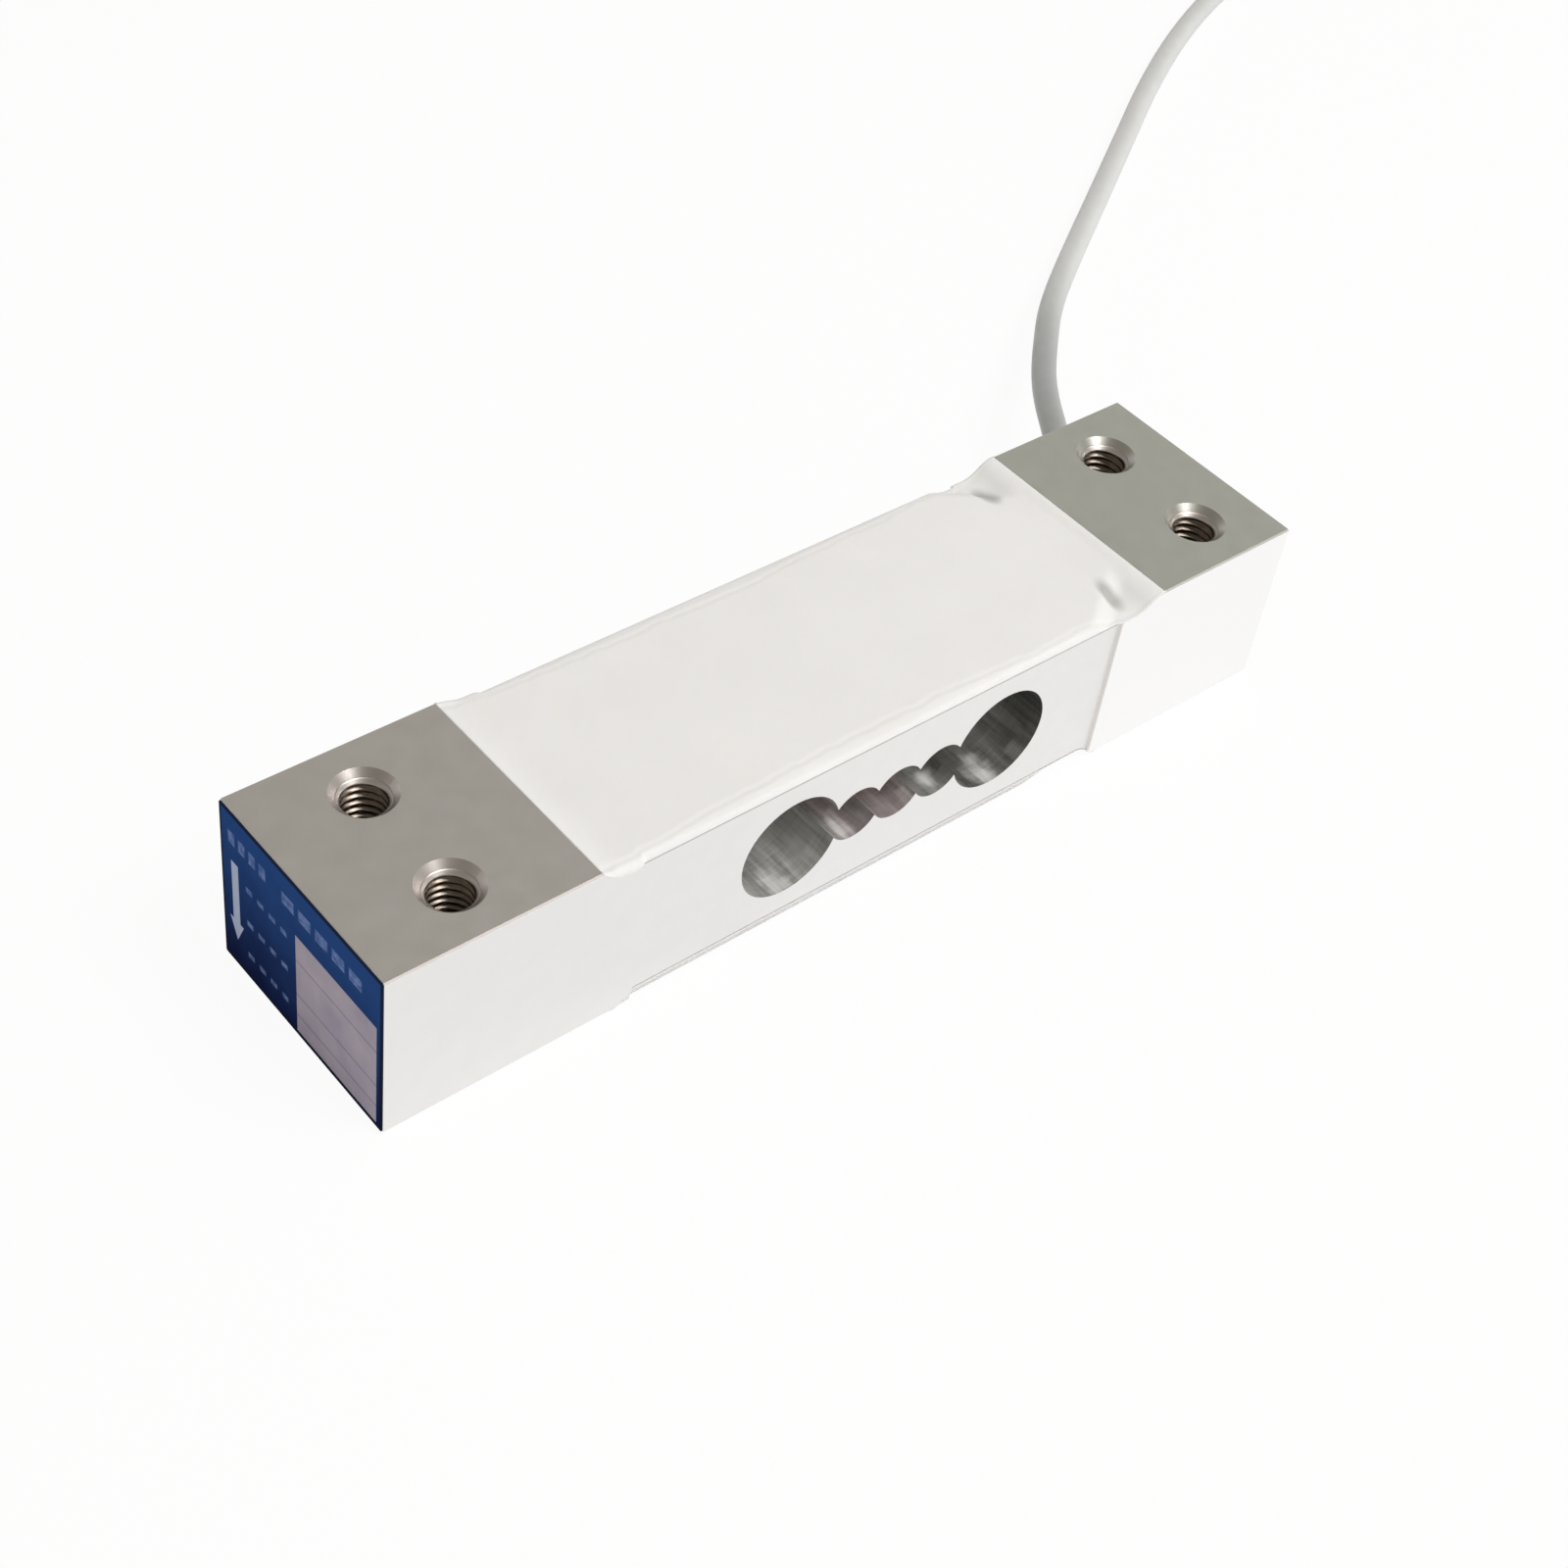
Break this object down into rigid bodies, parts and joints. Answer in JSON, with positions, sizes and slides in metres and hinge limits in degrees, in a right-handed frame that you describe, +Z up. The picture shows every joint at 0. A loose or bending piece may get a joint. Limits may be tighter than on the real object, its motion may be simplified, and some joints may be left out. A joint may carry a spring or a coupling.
{
  "type": "single point load cell",
  "caption": "Single point load cell: a recessed aluminium beam with a bored window, tapped ends, silicone-covered strain gauges and a signal cable.",
  "frame": {"origin": "centre of the beam's underside, at mid length and mid width", "axes": "+X along the beam towards the cable end; +Y across, towards the side face that the cable leaves; +Z up, away from the surface it stands on"},
  "size_m": [0.2918, 0.1775, 0.023],
  "materials": {
    "beam_aluminium": "fine milled, satin clear anodised",
    "label_film": "printed polyester film, satin",
    "silicone": "white room-temperature silicone, soft satin",
    "gauge_foil": "amber polyimide carrier with foil grid",
    "circuit_board": "green solder mask with tinned pads",
    "tinned_copper": "tinned copper",
    "insulation_red": "smooth",
    "insulation_black": "smooth",
    "insulation_green": "smooth",
    "insulation_white": "smooth",
    "sealant": "soft satin",
    "jacket": "light grey flexible jacket, satin",
    "shrink_film": "black heat-shrink, satin"
  },
  "bodies": {
    "root": {"beam": "beam_aluminium", "end_label": "label_film", "silicone_top": "silicone", "silicone_bottom": "silicone", "gauge_top_label_side": "gauge_foil", "gauge_top_cable_side": "gauge_foil", "gauge_bottom_label_side": "gauge_foil", "gauge_bottom_cable_side": "gauge_foil", "zero_balance_resistor": "gauge_foil", "span_resistor": "gauge_foil", "temperature_resistor": "gauge_foil", "terminal_board_top": "circuit_board", "terminal_board_bottom": "circuit_board", "bridge_wires_top": "tinned_copper", "bridge_wires_bottom": "tinned_copper", "crossover_wires": "tinned_copper", "lead_red": "insulation_red", "lead_black": "insulation_black", "lead_green": "insulation_green", "lead_white": "insulation_white", "cable_seal": "sealant", "wire_bore_plug": "sealant", "cable": "jacket", "cable_coil": "jacket", "cable_tail": "jacket", "shrink_sleeve": "shrink_film", "core_red": "insulation_red", "core_black": "insulation_black", "core_green": "insulation_green", "core_white": "insulation_white", "drain_wire": "tinned_copper", "core_tips": "tinned_copper"}
  },
  "joints": []
}
